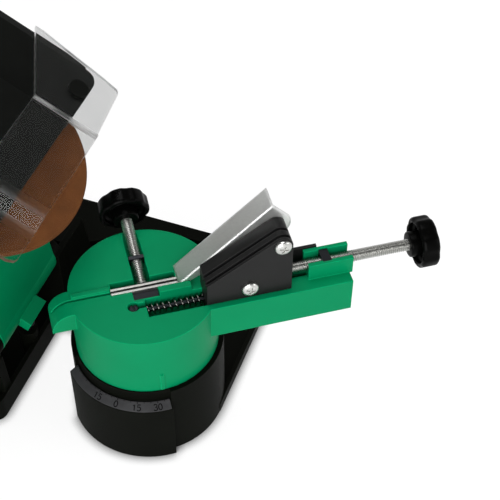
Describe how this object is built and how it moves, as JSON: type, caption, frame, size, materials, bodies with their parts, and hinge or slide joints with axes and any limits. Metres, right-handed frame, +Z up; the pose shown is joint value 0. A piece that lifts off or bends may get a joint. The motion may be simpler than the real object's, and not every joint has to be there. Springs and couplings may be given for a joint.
{
  "type": "bench chain grinder",
  "caption": "Bench grinder for saw chains: tilting wheel head with hood and clear guard above a turning chain vise with clamp screw and adjustable stop.",
  "frame": {"origin": "on the turning axis of the vise, at bench level, where the base stands", "axes": "+X to the operator's right, +Y away from the operator, +Z up; the grinding head tilts about an axis along +Y"},
  "size_m": [0.3754, 0.1715, 0.202],
  "materials": {
    "base_black": "satin black moulding",
    "scale_grey": "grey printed scale",
    "zinc_steel": "bright zinc plate",
    "spring_steel": "drawn wire",
    "rail_steel": "plain bright sheet",
    "dark_steel": "darkened steel",
    "bronze": "sintered bronze and copper",
    "carbon": "pressed carbon",
    "green_moulding": "smooth green moulding",
    "knob_black": "polished black",
    "block_black": "fine black moulding",
    "hood_black": "black moulding",
    "handle_black": "grained black moulding",
    "black_rubber": "soft black",
    "clear_plastic": "clear bent sheet",
    "abrasive": "open grained brown bond"
  },
  "bodies": {
    "base": {"base_housing": "base_black", "scale_plate": "scale_grey", "hinge_pin": "zinc_steel", "hinge_clips": "spring_steel", "return_spring": "spring_steel"},
    "depth_stop": {"depth_cap": "black_rubber"},
    "depth_screw": {"depth_bolt": "dark_steel"},
    "vise": {"vise_body": "green_moulding", "vise_stud": "zinc_steel", "rail_front": "rail_steel", "rail_screws": "zinc_steel", "rail_support": "dark_steel", "clamp_nut": "dark_steel", "guide_nut": "dark_steel", "guide_post": "dark_steel", "spring_rod": "zinc_steel", "stop_spring": "spring_steel"},
    "lock_ring": {"lock_washer": "zinc_steel"},
    "lock_hand_knob": {"lock_knob": "knob_black"},
    "jaw": {"rail_rear": "rail_steel"},
    "clamp": {"clamp_screw": "zinc_steel", "clamp_knob": "knob_black"},
    "carriage": {"stop_block": "block_black", "block_screw": "zinc_steel", "pivot_screw": "zinc_steel", "block_nuts": "zinc_steel"},
    "flap": {"stop_flap": "rail_steel"},
    "adjuster": {"adjusting_screw": "zinc_steel", "adjusting_knob": "knob_black"},
    "head": {"motor_casing": "green_moulding", "casing_cover": "green_moulding", "casing_screws": "zinc_steel", "hinge_bushes": "bronze", "stator": "dark_steel", "bearings": "zinc_steel", "brushes": "carbon", "wheel_hood": "hood_black", "hood_screws": "zinc_steel", "clear_guard": "clear_plastic", "guard_screws": "knob_black", "handle_front": "handle_black", "handle_rear": "handle_black", "handle_screws": "zinc_steel", "switch_body": "handle_black", "cable_gland": "black_rubber"},
    "trigger": {"switch_trigger": "knob_black"},
    "rotor": {"spindle": "zinc_steel", "armature": "dark_steel", "commutator": "bronze", "cooling_fan": "block_black", "inner_flange": "zinc_steel", "grinding_wheel": "abrasive", "outer_flange": "zinc_steel", "arbor_nut": "zinc_steel"}
  },
  "joints": [
    {"name": "vise_swivel", "type": "hinge", "parent": "base", "child": "vise", "pos_m": [0, 0, 0.048], "axis": [0, 0, 1], "range_deg": [-70, 0]},
    {"name": "lock_slide", "type": "slide", "parent": "vise", "child": "lock_ring", "axis": [0, 0, 1], "range_m": [-0.0012, 0]},
    {"name": "lock_turn", "type": "hinge", "parent": "lock_ring", "child": "lock_hand_knob", "pos_m": [0, 0, 0.018], "axis": [0, 0, 1], "range_deg": [-289, 1]},
    {"name": "jaw_slide", "type": "slide", "parent": "vise", "child": "jaw", "axis": [-0.56, 0.7997, 0.2164], "range_m": [-0.0005, 0.0004]},
    {"name": "clamp_turn", "type": "hinge", "parent": "jaw", "child": "clamp", "pos_m": [-0.00059, 0.00084, 0.0795], "axis": [-0.56, 0.7997, 0.2164], "range_deg": [-181, 145]},
    {"name": "stop_slide", "type": "slide", "parent": "vise", "child": "carriage", "axis": [0.8192, 0.5736, 0], "range_m": [-0.004, 0.0055], "deforming": ["stop_spring"]},
    {"name": "adjust_turn", "type": "hinge", "parent": "carriage", "child": "adjuster", "pos_m": [0.08834, 0.04818, 0.0893], "axis": [0.8192, 0.5736, 0], "range_deg": [-1441, 1981]},
    {"name": "flap_lift", "type": "hinge", "parent": "carriage", "child": "flap", "pos_m": [0.05392, 0.03214, 0.1156], "axis": [-0.5736, 0.8192, 0], "range_deg": [0, 10]},
    {"name": "head_tilt", "type": "hinge", "parent": "base", "child": "head", "pos_m": [-0.0747, 0, 0.0462], "axis": [0, 1, 0], "range_deg": [0, 31], "stiffness_Nm_per_rad": 0.6, "springref_deg": -28.65, "deforming": ["return_spring"]},
    {"name": "trigger_press", "type": "slide", "parent": "head", "child": "trigger", "axis": [0.454, 0, 0.891], "range_m": [-0.003, 0], "stiffness_N_per_m": 300, "springref_m": 0.002},
    {"name": "wheel_spin", "type": "hinge", "parent": "head", "child": "rotor", "pos_m": [-0.0803, 0, 0.145], "axis": [0.454, 0, 0.891], "continuous": true},
    {"name": "depth_slide", "type": "slide", "parent": "base", "child": "depth_stop", "axis": [0, 0, 1], "range_m": [-0.004, 0]},
    {"name": "depth_turn", "type": "hinge", "parent": "depth_stop", "child": "depth_screw", "pos_m": [-0.0705, 0.0014, 0.02], "axis": [0, 0, 1], "range_deg": [-1801, 1]}
  ],
  "couplings": [
    {"joint": "lock_turn", "follows": "lock_slide", "rad_per_m": 4188.8},
    {"joint": "clamp_turn", "follows": "jaw_slide", "rad_per_m": 6283.2},
    {"joint": "adjust_turn", "follows": "stop_slide", "rad_per_m": 6283.2},
    {"joint": "depth_turn", "follows": "depth_slide", "rad_per_m": 7854}
  ]
}
